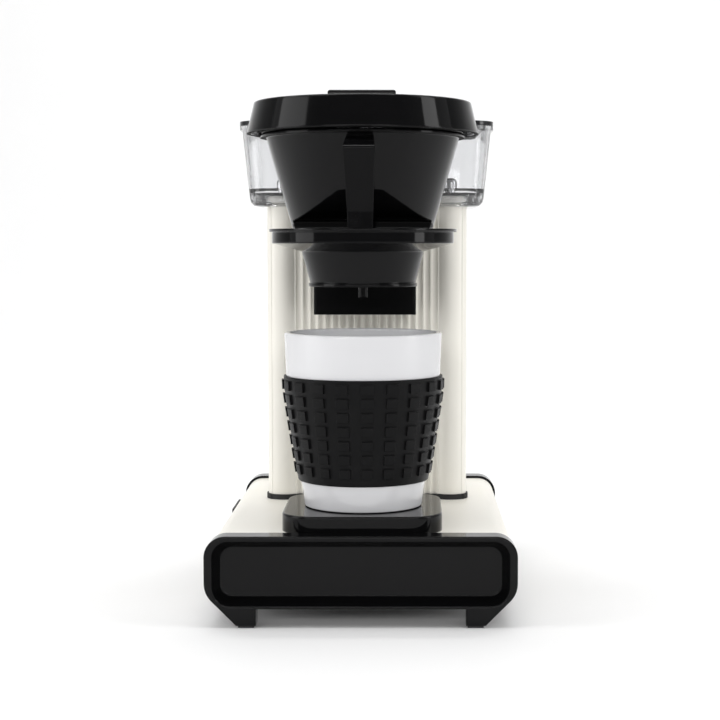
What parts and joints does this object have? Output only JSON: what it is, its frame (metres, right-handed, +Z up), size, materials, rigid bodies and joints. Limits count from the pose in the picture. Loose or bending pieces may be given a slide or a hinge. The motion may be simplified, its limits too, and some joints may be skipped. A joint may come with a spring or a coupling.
{
  "type": "drip coffee maker",
  "caption": "One-cup drip coffee maker: low base with cup plate, fluted tower, clear water tank, pull-out conical filter basket with lid, and a mug with a grip sleeve.",
  "frame": {"origin": "on the table, under the middle of the overall box", "axes": "+X to the right seen from the front, +Y to the back, +Z up; the front faces -Y"},
  "size_m": [0.16, 0.2499, 0.2754],
  "materials": {
    "cream_paint": "satin powder coat",
    "black_gloss": "gloss",
    "black_satin": "satin",
    "clear_plastic": "clear",
    "smoke_plastic": "smoke",
    "porcelain": "gloss glaze",
    "silicone": "matt",
    "rubber_black": "matt",
    "clear_silicone": "matt",
    "steel": "satin",
    "boiler_metal": "as cast",
    "valve_metal": "turned",
    "rocker_plastic": "gloss"
  },
  "bodies": {
    "base": {"base_sleeve": "cream_paint", "tower": "cream_paint", "front_plate": "black_gloss", "rear_plate": "black_gloss", "base_pan": "black_satin", "tie_bars": "steel", "rear_screws": "steel", "foot_pads": "rubber_black", "cup_plate": "black_gloss", "cup_plate_screws": "steel", "tower_gasket": "rubber_black", "tower_cap": "cream_paint", "tie_rods": "steel", "rod_nuts": "steel", "tank": "clear_plastic", "tank_seal": "rubber_black", "riser_tube": "steel", "boiler": "boiler_metal", "heating_element": "steel", "thermostat": "black_satin", "check_valve": "valve_metal", "inlet_hose": "clear_silicone", "inlet_strainer": "steel", "outlet_arm": "black_satin", "spray_head": "black_satin", "basket_bracket": "black_satin", "bracket_screws": "steel", "switch_housing": "black_satin", "rocker_pin": "steel", "terminal_block": "black_satin", "cord_gland": "black_satin"},
    "basket": {"filter_basket": "black_gloss", "basket_handle": "black_gloss"},
    "lid": {"basket_lid": "black_gloss"},
    "reservoir_lid": {"tank_lid": "smoke_plastic"},
    "cup": {"mug": "porcelain", "mug_sleeve": "silicone"},
    "rocker": {"switch_rocker": "rocker_plastic"}
  },
  "joints": [
    {"name": "basket_slide", "type": "slide", "parent": "base", "child": "basket", "axis": [0, -1, 0], "range_m": [0, 0.13]},
    {"name": "basket_lid_lift", "type": "slide", "parent": "basket", "child": "lid", "axis": [0, 0, 1], "range_m": [0, 0.06]},
    {"name": "tank_lid_lift", "type": "slide", "parent": "base", "child": "reservoir_lid", "axis": [0, 0, 1], "range_m": [0, 0.06]},
    {"name": "mug_slide", "type": "slide", "parent": "base", "child": "cup", "axis": [0, -1, 0], "range_m": [0, 0.12]},
    {"name": "rocker_hinge", "type": "hinge", "parent": "base", "child": "rocker", "pos_m": [-0.0763, 0.0461, 0.031], "axis": [0, 0, 1], "range_deg": [-11, 0]}
  ]
}
